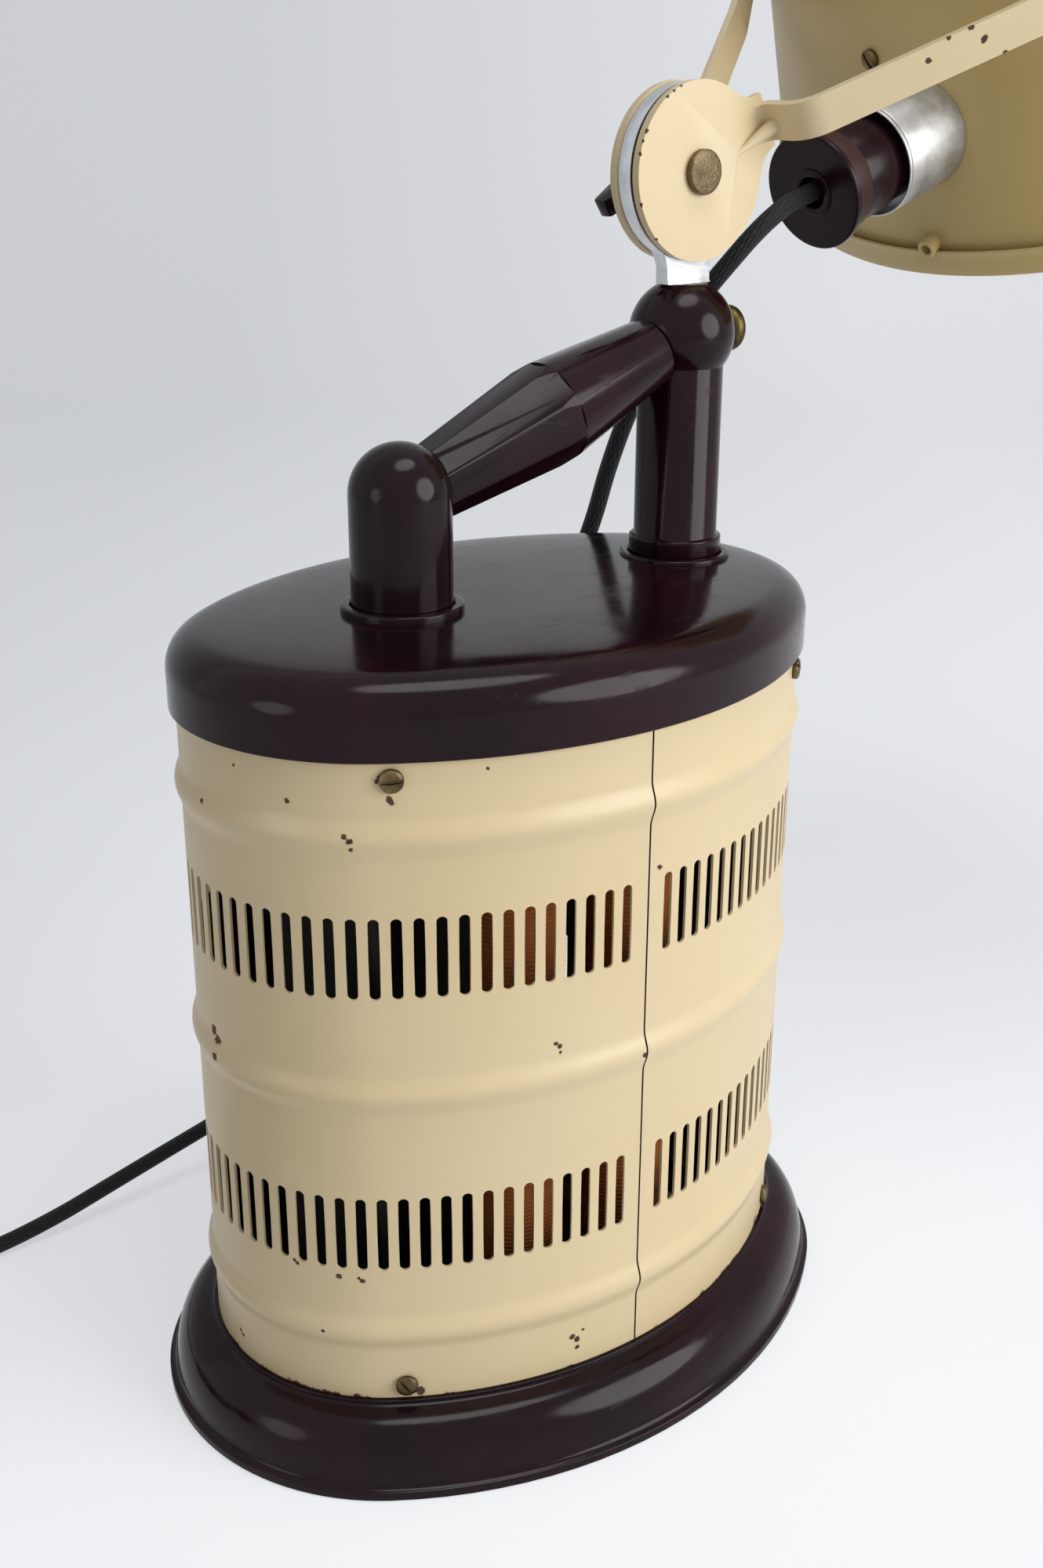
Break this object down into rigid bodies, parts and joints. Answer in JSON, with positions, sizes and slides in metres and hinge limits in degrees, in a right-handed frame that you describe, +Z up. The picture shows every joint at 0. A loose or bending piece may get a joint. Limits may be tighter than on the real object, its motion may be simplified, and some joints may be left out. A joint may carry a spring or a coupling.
{
  "type": "sun lamp",
  "caption": "Table sun lamp with an oval vented ballast housing, a carrying handle, a swivelling neck, a tilting fork and a bell-shaped reflector head.",
  "frame": {"origin": "centre of the oval foot's flat underside, on the surface the lamp stands on", "axes": "+Z up, +X along the oval's length towards the neck and the bell, +Y to the left of that"},
  "size_m": [0.8103, 0.338, 0.6624],
  "materials": {
    "cream_enamel": "satin",
    "enamelled_aluminium": "satin",
    "bakelite": "gloss",
    "aged_brass": "satin",
    "plated_steel": "satin",
    "bright_aluminium": "satin",
    "porcelain": "satin",
    "resistance_wire": "matte",
    "fibre": "matte",
    "braid": "matte",
    "rubber": "matte",
    "tie": "matte",
    "felt": "matte",
    "clear_glass": "gloss",
    "quartz": "gloss"
  },
  "bodies": {
    "housing": {"foot": "bakelite", "base_felt": "felt", "base_plate": "plated_steel", "tie_rods": "plated_steel", "rod_nuts": "plated_steel", "shell_left": "cream_enamel", "shell_right": "cream_enamel", "shell_screws": "aged_brass", "lid": "bakelite", "ballast_cores": "porcelain", "ballast_windings": "resistance_wire", "tube_bushes": "porcelain", "tube_rods": "plated_steel", "ballast_top_plate": "plated_steel", "terminal_block": "porcelain", "terminal_screws": "aged_brass", "inner_leads": "braid", "post_front": "bakelite", "post_rear": "bakelite", "post_studs": "plated_steel", "handle_grip": "bakelite", "handle_rod": "plated_steel", "ball": "bakelite", "ball_bush": "aged_brass", "lead_bush": "bakelite", "mains_gland": "rubber", "mains_lead": "braid", "mains_coil": "braid", "coil_tie": "tie", "plug_body": "bakelite", "plug_pins": "aged_brass", "lead_lower": "braid"},
    "swivel_clamp": {"swivel_screw": "aged_brass"},
    "neck": {"neck_tab": "bright_aluminium", "lead_middle": "braid"},
    "fork": {"arm_near": "cream_enamel", "arm_far": "cream_enamel", "joint_bolt": "aged_brass", "joint_washers": "fibre", "pivot_washers": "fibre", "lead_upper": "braid"},
    "knob": {"wing_knob": "bakelite", "knob_nut": "aged_brass"},
    "head": {"shade": "enamelled_aluminium", "rim_ring": "enamelled_aluminium", "reflector": "bright_aluminium", "reflector_screws": "aged_brass", "eyelet": "cream_enamel", "pivot_screws": "aged_brass", "holder_cap": "bakelite", "holder_ring": "bakelite", "holder_body": "bakelite", "holder_collar": "bright_aluminium", "socket_insert": "porcelain", "socket_shell": "aged_brass", "bulb_cap": "aged_brass", "bulb_glass": "clear_glass", "burner": "quartz"}
  },
  "joints": [
    {"name": "swivel", "type": "hinge", "parent": "housing", "child": "neck", "pos_m": [0.0823, 0, 0.386], "axis": [0, 0, 1], "range_deg": [-25, 90], "deforming": ["lead_lower"]},
    {"name": "fork_tilt", "type": "hinge", "parent": "neck", "child": "fork", "pos_m": [0.0823, 0, 0.4232], "axis": [0, 1, 0], "range_deg": [-50, 12], "deforming": ["lead_middle"]},
    {"name": "head_tilt", "type": "hinge", "parent": "fork", "child": "head", "pos_m": [0.31805, 0, 0.54855], "axis": [0, 1, 0], "range_deg": [-75, 4], "deforming": ["lead_upper"]},
    {"name": "wing_knob_turn", "type": "hinge", "parent": "fork", "child": "knob", "pos_m": [0.0823, 0.015, 0.4232], "axis": [0, 1, 0], "range_deg": [0, 180]},
    {"name": "swivel_screw_turn", "type": "hinge", "parent": "housing", "child": "swivel_clamp", "pos_m": [0.105, 0, 0.369], "axis": [1, 0, 0], "range_deg": [0, 180]}
  ]
}
